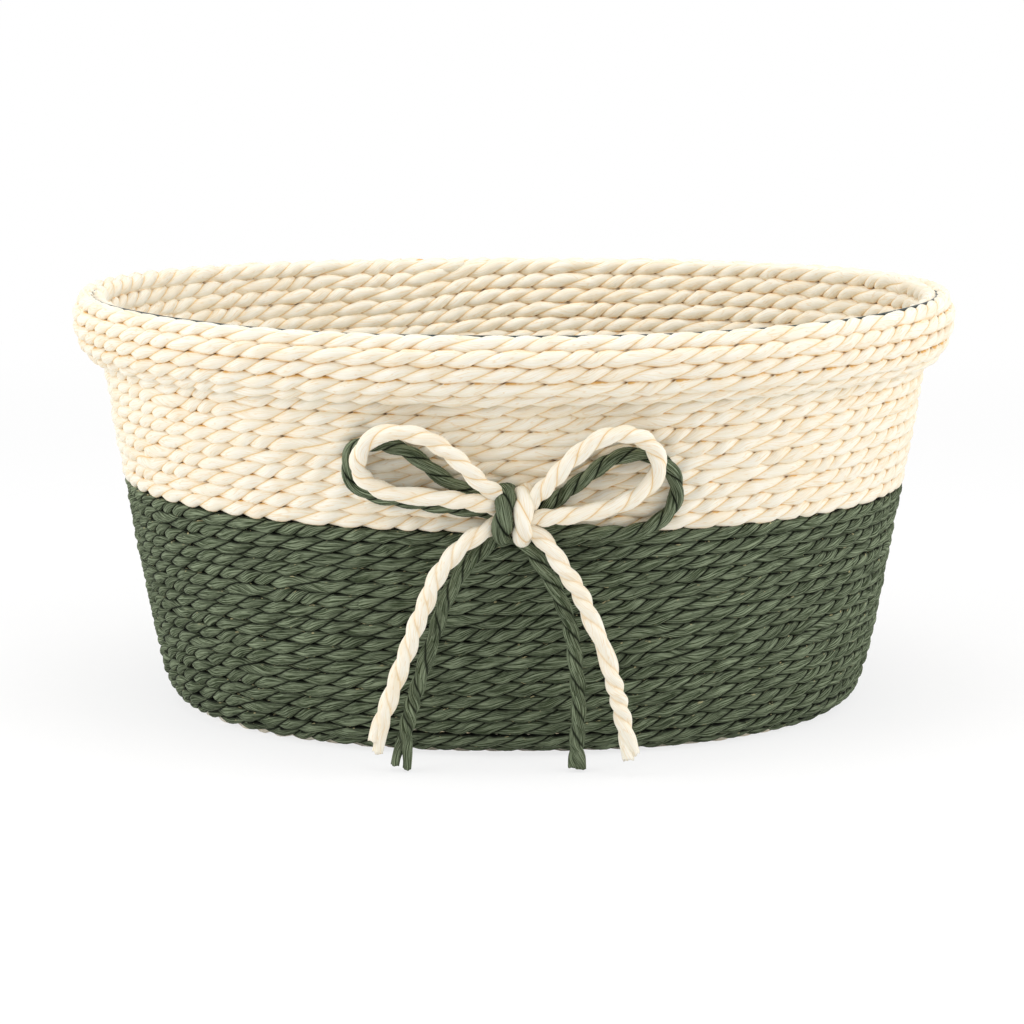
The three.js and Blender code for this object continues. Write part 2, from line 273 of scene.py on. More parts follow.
def derive(sizes):
    """Sizes in millimetres and what follows from them, by the same sums as the solids use."""
    names = BasketSizes.__annotations__
    b = SimpleNamespace(**{n: getattr(sizes, n) for n in names})
    for name, value in vars(b).items():
        if isinstance(value, float) and name != "wall_lean":
            setattr(b, name, value / MM)
    lean = b.wall_lean
    b.strip = (b.rim_width - b.rim_depth) / 2
    b.cream_half = (b.cream_pitch - b.rope_gap) / 2
    b.floor_half = b.green_pitch / 2
    b.rim_stand = 2 * b.cream_half + b.seat
    b.corner_turn = math.pi / 2 - lean
    b.corner_length = b.corner_radius * b.corner_turn
    b.green_start = b.rope_gap
    b.cream_start = b.green_start + b.green_turns * b.green_pitch
    b.wall_length = b.cream_start + (b.cream_turns - 1) * b.cream_pitch - b.corner_length
    b.rim_length = (b.rim_turns - 1) * b.rim_pitch
    b.lip_reach = (
        b.rim_depth / 2
        - b.cream_half
        - (b.rim_stand + b.rim_swell) * math.cos(lean)
        + (b.rim_fall + b.rim_length / 2) * math.sin(lean)
    )
    b.wall_foot_reach = b.lip_reach - b.wall_length * math.sin(lean)
    b.wall_foot_height = b.floor_half + b.corner_radius * (1 - math.cos(b.corner_turn))
    b.foot_reach = b.wall_foot_reach - b.corner_radius * math.sin(b.corner_turn)
    b.lip_height = b.wall_foot_height + b.wall_length * math.cos(lean)
    b.base_turns = round(b.foot_reach / b.green_pitch) - BASE_START
    b.facet = (1 + 1 / math.cos(math.pi / WALL_FACETS)) / 2
    b.green_lift = b.green_cord / 2 + b.seat
    b.cream_lift = b.green_cord + b.cream_cord / 2 + 3 * b.seat
    b.knot_centre = (
        b.wall_foot_height + (b.cream_start - b.corner_length) * math.cos(lean) + b.knot_rise
    )
    b.wall_out = np.array([0, -math.cos(lean), -math.sin(lean)])
    b.bow_step = b.bow_lay / 2 / BOW_STEPS
    return b


def wall_profile(b, along, angle):
    """Reach and height of the rope's centre, and the profile's direction, at lengths along base and wall.

    Before 0 the profile is the flat base; then it is an arc of the corner's radius, and then a straight
    line that leans outwards. At the front the arc is drawn towards its corner, with its rows more
    upright, and at the ends of the oval the line swells by the sine of the root of the height's share.
    """
    turn = np.clip(along, 0, b.corner_length) / b.corner_radius
    climb = np.maximum(along - b.corner_length, 0)
    inner = np.minimum(along, 0)
    lean = b.wall_lean
    front = np.sin(np.pi * turn / b.corner_turn) ** 2 * at_front(angle)
    drawn = CORNER_PUSH * front
    bend = b.corner_radius * np.sin(turn)
    bend = bend + drawn * (b.corner_radius * math.tan(b.corner_turn / 2) - bend)
    rise = b.corner_radius * (1 - np.cos(turn)) * (1 - drawn)
    share = np.clip(climb / b.wall_length, 0, 1)
    swell = WALL_SWELL * np.sin(np.pi * np.sqrt(share)) * np.cos(angle) ** 2
    reach = b.foot_reach + inner + bend + climb * math.sin(lean) + swell
    height = b.floor_half + rise + climb * math.cos(lean)
    upright = turn + CORNER_UPRIGHT * front * (b.corner_turn - turn)
    return reach, height, np.cos(upright), np.sin(upright)


def rim_profile(b, along, angle):
    """The same for the rolled rim, down from its first row: half an ellipse, with its ends at the wall.

    The ellipse stands out by the rim's swell and falls by the roll's drop, and its angle is looked up from
    the length along it. The direction is that from the row before to the row after.
    """
    table, lengths = roll_lengths(b)
    pitch = lengths[-1] / (b.roll_rows - 1)
    c, s = math.cos(b.wall_lean), math.sin(b.wall_lean)

    def place(length):
        turn = np.interp(length, lengths, table)
        out = b.rim_stand + b.rim_swell * np.cos(turn)
        fall = b.roll_top + b.roll_drop / 2 * (1 + np.sin(turn))
        return np.stack([b.lip_reach + out * c - fall * s, b.lip_height - out * s - fall * c])

    return (*place(along), *unit((place(along + pitch) - place(along - pitch)).T).T)


def roll_lengths(b):
    """Angles of the roll's half ellipse, and the length along it up to each of them."""
    table = np.linspace(-np.pi / 2, np.pi / 2, ROLL_STEPS + 1)
    out, fall = b.rim_swell * np.cos(table), b.roll_drop / 2 * np.sin(table)
    return table, np.concatenate([[0], np.cumsum(np.hypot(np.diff(out), np.diff(fall)))])


def dip(b, height, angle):
    """How far a point drops at the front and back: by the square of the sine, more the higher it is."""
    return b.lip_dip * height * np.sin(angle) ** 2 / b.lip_height


def strip_at(b, cosine, reach):
    """X of the oval's middle strip: a hyperbolic tangent of the cosine, less sharp the wider the reach."""
    share = np.clip(reach / b.foot_reach, 0, 1)
    sharpness = MIDDLE_SHARPNESS + (OVAL_SHARPNESS - MIDDLE_SHARPNESS) * share
    return b.strip * np.tanh(sharpness * cosine) / np.tanh(sharpness)


def on_oval(b, angle, reach, height):
    """Points on the oval: the middle strip and a circle of the reach, added, and the lip's dip."""
    c = np.cos(angle)
    x = strip_at(b, c, reach) + reach * c
    return np.stack([x, reach * np.sin(angle), height - dip(b, height, angle)], axis=-1)


def smooth(x):
    """Eases 0 to 1, by three x squared less two x cubed."""
    x = np.clip(x, 0, 1)
    return x * x * (3 - 2 * x)


def at_back(angle):
    """Eases from 0 along the front of the oval to 1 along its back."""
    return smooth((np.sin(angle) - BACK_FROM) / BACK_EASE)


def at_front(angle):
    """Eases from 0 at the ends of the oval to 1 in the middle of its front, by a power of the sine."""
    return np.clip(-np.sin(angle), 0, 1) ** FRONT_POWER


def drift(length, spacing, amount, seed):
    """Slow random wander along a length: seeded values at even spacing, eased from one to the next."""
    place = np.asarray(length) / spacing
    values = np.random.default_rng(seed).normal(0, amount, int(place.max()) + 3)
    low = np.floor(place).astype(int)
    return values[low] + (values[low + 1] - values[low]) * smooth(place - low)


def unit(v):
    """Vectors divided by their lengths."""
    return v / np.linalg.norm(v, axis=-1, keepdims=True)


def axes(path, out):
    """Unit vectors along a path, outwards and sideways; outwards is the part of a direction square to it."""
    tangent = unit(np.gradient(path, axis=0))
    out = unit(out - (out * tangent).sum(-1, keepdims=True) * tangent)
    return tangent, out, np.cross(tangent, out)


def even(points, others, step):
    """A path and its arrays at even steps along its length, with the length at each step."""
    gone = np.linalg.norm(np.diff(points, axis=0), axis=1)
    length = np.concatenate([[0], np.cumsum(gone)])
    count = max(int(round(length[-1] / step)), LEAST_STEPS)
    at = np.linspace(0, length[-1], count + 1)

    def pick(values):
        return np.stack([np.interp(at, length, values[:, k]) for k in range(values.shape[1])], axis=-1)

    return at, pick(points), [pick(v) for v in others]


def coil_path(b, wound, step):
    """Centre line of wound rope, clockwise from the back, its outward direction, and its turn and pitch.

    Turn t is at the angle 90 degrees less t circles. A free row climbs to the next row over the whole
    turn, a level one in its last part, and level gives how level each row is.
    """
    first, last = wound.turns
    turn = np.linspace(first, last, int((last - first) * TURN_STEPS) + 1)
    row = np.floor(turn + 1e-9)
    part = turn - row
    level = wound.level(row)
    jump = smooth((part - 1 + CLIMB_SHARE) / CLIMB_SHARE)
    place = row + (1 - level) * part + level * jump
    number = np.arange(len(wound.rows))
    angle = np.pi / 2 - 2 * np.pi * turn
    along = np.interp(place, number, wound.rows) + wound.push(place, angle)
    pitch = np.interp(place, number, np.gradient(wound.rows))
    pitch = pitch + wound.push(place + 0.5, angle) - wound.push(place - 0.5, angle)
    reach, height, forward_reach, forward_height = wound.profile(b, along, angle)
    points = on_oval(b, angle, reach, height)
    out = np.stack(
        [forward_height * np.cos(angle), forward_height * np.sin(angle), -forward_reach], axis=-1
    )
    return even(points, [out, np.stack([turn, pitch], -1)], step)


def rope_section(strands):
    """Angles across the two strands, the rope's radius there, and how near a groove each column is.

    Each strand is a circle beside the rope's centre, so the radius is the offset times the cosine plus the
    root of the strand's radius squared less the offset times the sine, squared. Columns crowd to grooves.
    """
    offset, size = strands
    v = np.linspace(-1, 1, STRAND_COLUMNS + 1)[:-1]
    angle = np.pi / 2 * ((1 + CROWDING) * v - CROWDING * v**3)
    radius = offset * np.cos(angle) + np.sqrt(size**2 - (offset * np.sin(angle)) ** 2)
    return np.concatenate([angle, angle + np.pi]), np.tile(radius, 2), np.tile(np.abs(v), 2)


def twist_along(at, lay, seed):
    """Angle of the first strand along a rope: left-handed, one circle in each lay, with some wander."""
    start = np.random.default_rng(seed).uniform(0, 2 * np.pi)
    return start - 2 * np.pi * at / lay + drift(at, *TWIST_DRIFT, seed + 1)


def row_edges(wound, turn, pitch, twist):
    """How far a row reaches to the next and to the last row, so that bulges lie in its neighbours' notches.

    A free rope is as wide as its strand's radius plus the offset times the sine of the twist; rows meet
    half a pitch away, moved by half the difference of the two widths. Two more arrays are 1 where there is
    a row to meet on that side.
    """
    offset, size = ROW_STRANDS
    wide = ROW_RADIUS * pitch * (size + offset * np.abs(np.sin(twist)))
    after = np.interp(turn + 1, turn, wide, right=wide.mean())
    before = np.interp(turn - 1, turn, wide, left=wide.mean())
    ahead = ROW_OVERLAP * (pitch + wide - after) / 2 / wide
    behind = ROW_OVERLAP * (pitch + wide - before) / 2 / wide
    meets_after = np.where(turn + 1 > turn[-1], wound.meets[1], 1)
    meets_before = np.where(turn - 1 < turn[0], wound.meets[0], 1)
    return ahead, behind, meets_after, meets_before


def grid_faces(rows, columns, closed=False):
    """Quads of a grid that closes round its columns, and if asked round its rows, facing out of a tube."""
    i, j = np.meshgrid(np.arange(rows if closed else rows - 1), np.arange(columns), indexing="ij")
    n, k = (i + 1) % rows, (j + 1) % columns
    quads = [i * columns + j, i * columns + k, n * columns + k, n * columns + j]
    return np.stack(quads, -1).reshape(-1, 4)


def cap_faces(rows, columns):
    """Triangles from the first and last ring of such a grid to the two points that follow the grid."""
    j = np.arange(columns)
    k = (j + 1) % columns
    count = rows * columns
    last = count - columns
    near = np.stack([k, j, np.full(columns, count)], -1)
    far = np.stack([last + j, last + k, np.full(columns, count + 1)], -1)
    return np.concatenate([near, far])


def tube_form(points, ends, at, fibre, tags, groove, seam, end_seam, marks):
    """A closed tube from a grid of rows along it and columns round it.

    Two end points close it. Their groove is 1 and their seam is the value given for the ends, so the paper
    paints groove shade at the middle of each end, and notch shade too where that value is 1. fibre, the place
    across the paper's fibres, has one column more than the grid, and tags hold a number for each column's
    strand. marks number the columns that are sharp grooves.
    """
    rows, columns = points.shape[:2]
    corners = np.stack([np.repeat(at[:, None], columns + 1, axis=1), fibre], -1)
    around = corners[:-1, :-1], corners[:-1, 1:], corners[1:, 1:], corners[1:, :-1]
    tag = np.broadcast_to(tags[:, None], (rows - 1, columns, 1))
    paper = np.stack([np.concatenate([c, tag], -1) for c in around], 2)
    return SimpleNamespace(
        points=np.concatenate([points.reshape(-1, 3), ends]),
        quads=grid_faces(rows, columns),
        caps=cap_faces(rows, columns),
        paper=paper.reshape(-1, 3),
        groove=np.append(np.broadcast_to(groove, (rows, columns)), [1.0, 1.0]),
        seam=np.append(seam, [end_seam, end_seam]),
        marks=np.append(np.tile(marks, rows), [0, 0]),
    )


def rope(at, path, out, radius, lay, seed, floor=None, edges=None):
    """Surface of a two-strand rope along a path.

    The section of two strands turns with the twist, and its radius wanders a little. In a row, the width
    is stretched to the edges that are given, one for each side.
    """
    _, out, side = axes(path, out)
    angle, share, groove = rope_section(FREE_STRANDS if edges is None else ROW_STRANDS)
    thick = radius * (1 + drift(at, *THICKNESS_DRIFT, seed + 2)[:, None])
    turn = angle[None, :] + twist_along(at, lay, seed)[:, None]
    width = radius * share[None, :] * np.sin(turn)
    seam = np.zeros_like(width)
    if edges is not None:
        ahead, behind, after, before = edges[..., None]
        seam = np.abs(width) / np.abs(width).max(axis=1, keepdims=True)
        seam = seam * np.where(width > 0, after, before)
        width = width * np.where(width > 0, ahead, behind)
    points = (
        path[:, None, :]
        + (thick * share[None, :] * np.cos(turn))[..., None] * out[:, None, :]
        + width[..., None] * side[:, None, :]
    )
    if floor is not None:
        points[..., 2] = np.maximum(points[..., 2], floor)
    edge = np.append(angle, angle[0] + 2 * np.pi)
    fibre = np.mean(radius) * (edge[None, :] - FIBRE_SLANT * 2 * np.pi * at[:, None] / lay)
    column = np.arange(len(angle))
    second = len(angle) // 2
    tags = (column >= second) * STRAND_NUMBER + seed
    marks = (column == 0) * 1 + (column == second) * 2
    return tube_form(points, path[[0, -1]], at, fibre, tags, groove, seam, 0.0, marks)


def strand_tube(at, path, out, radius, lay, seed, which, flare):
    """One strand of a rope with a cut end, as a tube of its own.

    A circle beside the rope's centre turns with the lay. Over the flare the strands untwist to a given
    angle and part, the circle flattens to an ellipse, and its last ring is cut ragged and hollow.
    """
    tangent, out, side = axes(path, out)
    left = at[-1] - at
    open_share = smooth(1 - left / flare.length)
    twist = twist_along(at, lay, seed)
    loose = flare.length * UNTWIST_PART
    stop = np.interp(at[-1] - loose, at, twist)
    twist = np.where(left < loose, stop + UNTWIST_SHARE * (twist - stop), twist)
    settled = flare.turn + np.pi * round((twist[-1] - flare.turn) / np.pi)
    twist = twist + (settled - twist[-1]) * open_share + which * np.pi
    apart, size = FREE_STRANDS
    offset = radius * (apart + flare.part * open_share)
    edge = np.arange(TUBE_COLUMNS + 1) * 2 * np.pi / TUBE_COLUMNS
    beta = edge[:-1]
    wide = radius * size * (1 + flare.wide * open_share)
    thin = radius * size * (1 - flare.thin * open_share)
    away = np.cos(twist)[:, None] * out + np.sin(twist)[:, None] * side
    sideways = -np.sin(twist)[:, None] * out + np.cos(twist)[:, None] * side
    points = (
        (path + offset[:, None] * away)[:, None, :]
        + (thin[:, None] * np.cos(beta)[None, :])[..., None] * away[:, None, :]
        + (wide[:, None] * np.sin(beta)[None, :])[..., None] * sideways[:, None, :]
    )
    ragged = np.random.default_rng(seed).uniform(-1, 1, TUBE_COLUMNS) * flare.ragged
    ragged = ragged + flare.longer * (1 if which else -1)
    points += (ragged[None, :] * (open_share**CUT_POWER)[:, None])[..., None] * tangent[:, None, :]
    ends = np.stack([points[0].mean(0), points[-1].mean(0) - tangent[-1] * flare.hollow])
    slant = FIBRE_SLANT * 2 * np.pi / lay * np.cumsum(1 - open_share) * (at[1] - at[0])
    fibre = radius * (edge[None, :] * size - slant[:, None])
    groove = np.clip((1 - np.cos(beta)) * TUBE_GROOVE, 0, 1)[None, :]
    groove = groove * (1 - OPEN_GROOVE * open_share[:, None])
    tags = np.full(TUBE_COLUMNS, which * STRAND_NUMBER + seed)
    none = np.zeros(TUBE_COLUMNS, int)
    # The cut's middle points take a seam of 1, so notch shade is painted into the hollow of the cut end
    return tube_form(points, ends, at, fibre, tags, groove, np.zeros_like(groove), 1.0, none)


def add_piece(name, mesh, material, replaced):
    """Puts a mesh into the scene as a smooth piece that takes the place of a solid."""
    mesh.polygons.foreach_set("use_smooth", np.ones(len(mesh.polygons), bool))
    mesh.materials.append(material)
    piece = bpy.data.objects.new(name, mesh)
    bpy.context.scene.collection.objects.link(piece)
    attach(piece, "root")
    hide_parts(replaced)
    return piece


def add_rope(name, forms, material, replaced):
    """One piece from tubes of rope, with the attributes that the paper reads.

    strand holds the length along the rope, the place across its fibres and a number for the strand; groove
    is 1 in the groove between strands; seam is 1 where the rope meets the next row. The paper paints shade
    where either of them is high.
    """
    counts = [len(f.points) for f in forms]
    starts = np.concatenate([[0], np.cumsum(counts)])[:-1]
    points = np.concatenate([f.points for f in forms]) * MM
    quads = np.concatenate([f.quads + s for f, s in zip(forms, starts)])
    caps = np.concatenate([f.caps + s for f, s in zip(forms, starts)])
    mesh = bpy.data.meshes.new(name)
    mesh.vertices.add(len(points))
    mesh.vertices.foreach_set("co", points.astype(np.float32).ravel())
    corners = np.concatenate([quads.ravel(), caps.ravel()]).astype(np.int32)
    mesh.loops.add(len(corners))
    mesh.loops.foreach_set("vertex_index", corners)
    sides = np.concatenate([np.full(len(quads), 4), np.full(len(caps), 3)])
    mesh.polygons.add(len(sides))
    mesh.polygons.foreach_set("loop_start", (np.cumsum(sides) - sides).astype(np.int32))
    mesh.update(calc_edges=True)
    paper = np.concatenate([f.paper for f in forms] + [np.zeros((caps.size, 3))])
    values = {
        "groove": ("FLOAT", "POINT", "value", np.concatenate([f.groove for f in forms])),
        "seam": ("FLOAT", "POINT", "value", np.concatenate([f.seam for f in forms])),
        "strand": ("FLOAT_VECTOR", "CORNER", "vector", paper),
    }
    for title, (kind, domain, field, data) in values.items():
        layer = mesh.attributes.new(title, kind, domain)
        layer.data.foreach_set(field, data.astype(np.float32).ravel())
    ends = np.zeros(len(mesh.edges) * 2, np.int32)
    mesh.edges.foreach_get("vertices", ends)
    ends = np.concatenate([f.marks for f in forms])[ends.reshape(-1, 2)]
    sharp = (ends[:, 0] > 0) & (ends[:, 0] == ends[:, 1])
    mesh.attributes.new("sharp_edge", "BOOLEAN", "EDGE").data.foreach_set("value", sharp)
    if mesh.validate():
        raise RuntimeError(name + " has faces that don't hold together")
    return add_piece(name, mesh, material, replaced)


ATTRIBUTE = "ShaderNodeAttribute"
NOISE = "ShaderNodeTexNoise"
RANGE = "ShaderNodeMapRange"
MATH = "ShaderNodeMath"
VECTOR = "ShaderNodeVectorMath"
MIX = "ShaderNodeMix"
EMISSION = "ShaderNodeEmission"
MIX_SHADER = "ShaderNodeMixShader"
SURFACE = "ShaderNodeBsdfPrincipled"
OUTPUT = "ShaderNodeOutputMaterial"


def add_node(tree, kind, inputs=None, output=0, **settings):
    """Adds a node and gives one of its outputs; an input is a value, or another node's output to link."""
    node = tree.nodes.new(kind)
    for key, value in settings.items():
        setattr(node, key, value)
    for key, value in (inputs or {}).items():
        if isinstance(value, bpy.types.NodeSocket):
            tree.links.new(value, node.inputs[key])
        else:
            node.inputs[key].default_value = value
    return node.outputs[output] if node.outputs else None


def new_material(name):
    """An empty material and its node tree."""
    material = bpy.data.materials.new(name)
    material.use_nodes = True
    material.node_tree.nodes.clear()
    return material, material.node_tree


# Noise in the paper: scales, in one over millimetres, along the rope and across its fibres, and the jump from
# strand to strand, then detail and roughness
PAPER_NOISE = {
    # Fibres 11 mm long; they are 0.1 mm wide on the real paper and are drawn 0.4 mm wide, so that they show
    "fibre": ((0.09, 2.4, 1.0), 4.0, 0.62),
    # Patches of the sheet that took the colour differently, 16 mm long and 6 mm wide
    "sheet": ((0.06, 0.16, 3.7), 2.0, 0.5),
    # Pale folds of paper beside a groove, 3 mm long
    "fold": ((0.33, 0.8, 2.1), 2.0, 0.5),
    # Thin creases along the fibres, 14 mm long and 0.3 mm wide
    "line": ((0.07, 0.75, 2.9), 1.5, 0.5),
    # Flecks near the seams, 2 mm long
    "fleck": ((0.42, 1.1, 5.3), 1.0, 0.5),
}
# Depth of the fibres' relief, in millimetres
FIBRE_RELIEF = 0.35


def twisted_paper(name, tones):
    """Kraft paper twisted into cord: matte, with fibres along the strand and shade painted into grooves,
    seams and notches.
    """
    known = bpy.data.materials.get(name)
    if known:
        return known
    material, tree = new_material(name)
    strand = add_node(tree, ATTRIBUTE, None, "Vector", attribute_name="strand")
    groove = add_node(tree, ATTRIBUTE, None, "Fac", attribute_name="groove")
    seam = add_node(tree, ATTRIBUTE, None, "Fac", attribute_name="seam")
    noise = {}
    for part, (scale, detail, rough) in PAPER_NOISE.items():
        place = add_node(tree, VECTOR, {0: strand, 1: scale}, operation="MULTIPLY")
        grain = {"Vector": place, "Scale": 1.0, "Detail": detail, "Roughness": rough}
        noise[part] = add_node(tree, NOISE, grain)
    low = add_node(tree, MATH, {0: groove, 1: seam}, operation="MAXIMUM")

    # Masks: what each one reads, where it begins and is full, and its greatest share
    ramps = {
        "streak": (noise["fibre"], 0.38, 0.66, 1.0),
        "patch": (noise["sheet"], 0.42, 0.7, tones.patch_share),
        "fold": (noise["fold"], 0.5, 0.66, 1.0),
        "beside_groove": (groove, 0.62, 0.84, 1.0),
        "off_groove": (groove, 1.0, 0.86, tones.fold_share),
        # Painted shade that gathers towards grooves and seams
        "tint": (low, 0.5, 1.0, tones.tint_share),
        # Painted shade in the grooves between strands
        "crease": (groove, tones.crease_from, 1.0, tones.crease_share),
        # Painted shade in the seams where rows meet
        "meeting": (seam, tones.seam_from, 1.0, tones.seam_share),
        # Darker painted shade in the notches where grooves meet a seam
        "notch": (groove, 0.62, 0.95, 1.0),
        "by_seam": (seam, 0.6, 0.82, 1.0),
        "fleck": (noise["fleck"], 0.7, 0.74, tones.fleck_share),
        "near_seam": (seam, 0.5, 0.8, 1.0),
    }
    masks = {}
    for part, (source, begin, full, share) in ramps.items():
        ramp = {0: source, 1: begin, 2: full, 4: share}
        masks[part] = add_node(tree, RANGE, ramp, interpolation_type="SMOOTHSTEP")
    line = add_node(tree, MATH, {0: noise["line"], 1: 0.5}, operation="SUBTRACT")
    line = add_node(tree, MATH, {0: line}, operation="ABSOLUTE")
    masks["line"] = add_node(tree, RANGE, {0: line, 1: 0.03, 2: 0.0, 4: tones.line_share})

    # Masks that hold only where another one does
    limits = {
        "beside_groove": "off_groove",
        "fold": "beside_groove",
        "notch": "by_seam",
        "fleck": "near_seam",
    }
    for part, limit in limits.items():
        masks[part] = add_node(tree, MATH, {0: masks[part], 1: masks[limit]}, operation="MULTIPLY")

    # Layers of colour on the body: fibres, patches, pale folds, creases, painted shade that gathers towards
    # grooves and seams, painted shade in the grooves between strands and in the seams between rows, darker
    # painted shade in the notches where both meet, and flecks
    layers = {
        "streak": tones.light,
        "patch": tones.crease,
        "fold": tones.light,
        "line": tones.crease,
        "tint": tones.crease,
        "crease": tones.crease,
        "meeting": tones.seam,
        "notch": tones.deep,
        "fleck": tones.fleck,
    }
    colour = tones.body
    for part, tone in layers.items():
        colour = add_node(tree, MIX, {0: masks[part], 6: colour, 7: tone}, 2, data_type="RGBA")
    raised = {"Height": noise["fibre"], "Strength": tones.relief, "Distance": FIBRE_RELIEF * MM}
    finish = {
        "Base Color": colour,
        "Roughness": add_node(tree, RANGE, {0: noise["fibre"], 1: 0.3, 2: 0.8, 3: 0.92, 4: 0.74}),
        "Normal": add_node(tree, "ShaderNodeBump", raised),
        "IOR": 1.5,
        "Specular IOR Level": tones.gloss,
    }
    add_node(tree, OUTPUT, {"Surface": add_node(tree, SURFACE, finish)})
    return material


def cream_paper(colours):
    """Undyed paper cord: pale and even, with warm painted shade in its grooves, seams and notches."""
    return twisted_paper(
        "cream_twisted_paper",
        SimpleNamespace(
            body=(*colours.cream, 1),
            light=(*colours.cream_light, 1),
            # Painted shade in grooves, seams and notches; the groove shade also tones the random patches,
            # thin creases and flecks
            crease=(*colours.cream_crease, 1),
            seam=(*colours.cream_seam, 1),
            deep=(*colours.cream_deep, 1),
            fleck=(*colours.cream_crease, 1),
            patch_share=0.16,
            fold_share=0.5,
            line_share=0.35,
            tint_share=0.26,
            crease_from=0.84,
            crease_share=0.7,
            seam_from=0.88,
            seam_share=0.95,
            fleck_share=0.4,
            relief=0.3,
            gloss=0.25,
        ),
    )


def green_paper(colours):
    """Paper cord dyed green: dark and streaky, with near black painted shade in grooves, seams and notches,
    and undyed flecks.
    """
    return twisted_paper(
        "green_twisted_paper",
        SimpleNamespace(
            body=(*colours.green, 1),
            light=(*colours.green_light, 1),
            # Painted shade in grooves, then near black in seams and notches; the groove shade also tones the
            # random patches and thin creases
            crease=(*colours.green_crease, 1),
            seam=(*colours.green_deep, 1),
            deep=(*colours.green_deep, 1),
            fleck=(*colours.fleck, 1),
            patch_share=0.3,
            fold_share=0.9,
            line_share=0.5,
            tint_share=0.4,
            crease_from=0.64,
            crease_share=1.0,
            seam_from=0.71,
            seam_share=1.0,
            fleck_share=0.8,
            relief=0.45,
            gloss=0.1,
        ),
    )


PAPERS = {"cream_rope": cream_paper, "green_rope": green_paper}
# Tones of the wire's coat in and beside scuffs, as shares of its colour
WIRE_TONES = 0.6, 1.3


def coated_wire(colours):
    """Steel wire in a dark plastic coat: smooth, with a soft gloss and scuffs about 2 mm long."""
    material, tree = new_material("plastic_coated_wire")
    place = add_node(tree, "ShaderNodeTexCoord", None, "Object")
    scuff = add_node(tree, NOISE, {"Vector": place, "Scale": 0.5 / MM, "Detail": 3.0})
    dark, pale = ((*(share * c for c in colours.wire), 1) for share in WIRE_TONES)
    finish = {
        "Base Color": add_node(tree, MIX, {0: scuff, 6: dark, 7: pale}, 2, data_type="RGBA"),
        "Roughness": add_node(tree, RANGE, {0: scuff, 3: 0.35, 4: 0.6}),
        "IOR": 1.46,
    }
    add_node(tree, OUTPUT, {"Surface": add_node(tree, SURFACE, finish)})
    return material


def free_rows(row):
    """Rows that climb all the way round."""
    return np.zeros_like(row)


def flat_rows(row):
    """Rows that lie level and climb at the back."""
    return np.ones_like(row)


def no_push(place, angle):
    """Rows that lie where their profile puts them."""
    return 0.0


def add_wound(context, names, wound, slot, seed, replaced, coarse=1, floor=None):
    """One wound rope, shared among pieces of equal length.

    wound gives the profile, where each row lies on it, the first and last turn, how level each row is, how
    far a place on a row is pushed along the profile, and whether the first and last row meet others beyond.
    """
    b = derive(context.scene.basket_sizes)
    lay = b.cream_lay if slot == "cream_rope" else b.green_lay
    at, path, (out, coil) = coil_path(b, wound, coarse * lay / 2 / HALF_LAY_STEPS)
    turn, pitch = coil.T
    edges = np.stack(row_edges(wound, turn, pitch, twist_along(at, lay, seed)))
    _, out, side = axes(path, out)
    path = path + drift(at, *OUTWARD_DRIFT, seed + 5)[:, None] * out
    path = path + drift(at, *ALONG_DRIFT, seed + 6)[:, None] * side
    paper = PAPERS[slot](context.scene.basket_colours)
    cuts = np.linspace(0, len(at) - 1, len(names) + 1).round().astype(int)
    for name, low, high in zip(names, cuts[:-1], cuts[1:] + 1):
        part = slice(low, high)
        radius = ROW_RADIUS * pitch[part, None]
        form = rope(at[part], path[part], out[part], radius, lay, seed, floor, edges[:, part])
        add_rope(name, [form], paper, replaced)


class BASKET_OT_base_rope(bpy.types.Operator):
    """Winds the flat base from its middle strip outwards"""

    bl_idname = "basket.base_rope"
    bl_label = "Base rope"

    def execute(self, context):
        b = derive(context.scene.basket_sizes)
        pitch = (b.foot_reach + b.green_start + b.wall_rise) / b.base_turns
        wound = SimpleNamespace(
            profile=wall_profile,
            rows=-b.foot_reach + pitch * (np.arange(math.ceil(b.base_turns) + 2) - BASE_START),
            turns=(BASE_START, b.base_turns + BASE_START),
            level=free_rows,
            push=lambda place, angle: (
                BASE_PUSH * pitch * place * np.where(np.sin(angle) < 0, np.sin(2 * angle) ** 2, 0)
            ),
            meets=(1, 0),
        )
        names = ["base_rope"]
        add_wound(context, names, wound, "cream_rope", BASE_SEED, "base_coil", BASE_COARSE, floor=0.0)
        return {"FINISHED"}


class BASKET_OT_green_wall(bpy.types.Operator):
    """Winds the green rope of the lower wall, in three lengths"""

    bl_idname = "basket.green_wall"
    bl_label = "Green wall"

    def execute(self, context):
        b = derive(context.scene.basket_sizes)
        wound = SimpleNamespace(
            profile=wall_profile,
            rows=b.green_start + b.wall_rise + b.green_pitch * np.arange(b.green_turns + 1),
            turns=(0, b.green_turns),
            level=free_rows,
            push=lambda place, angle: (
                -FRONT_SAG * place / SAG_ROW * np.exp(1 - place / SAG_ROW) * at_front(angle)
            ),
            meets=(1, 1),
        )
        names = ["green_wall_lower", "green_wall_middle", "green_wall_upper"]
        add_wound(context, names, wound, "green_rope", GREEN_SEED, "green_wall_coil", floor=0.0)
        return {"FINISHED"}


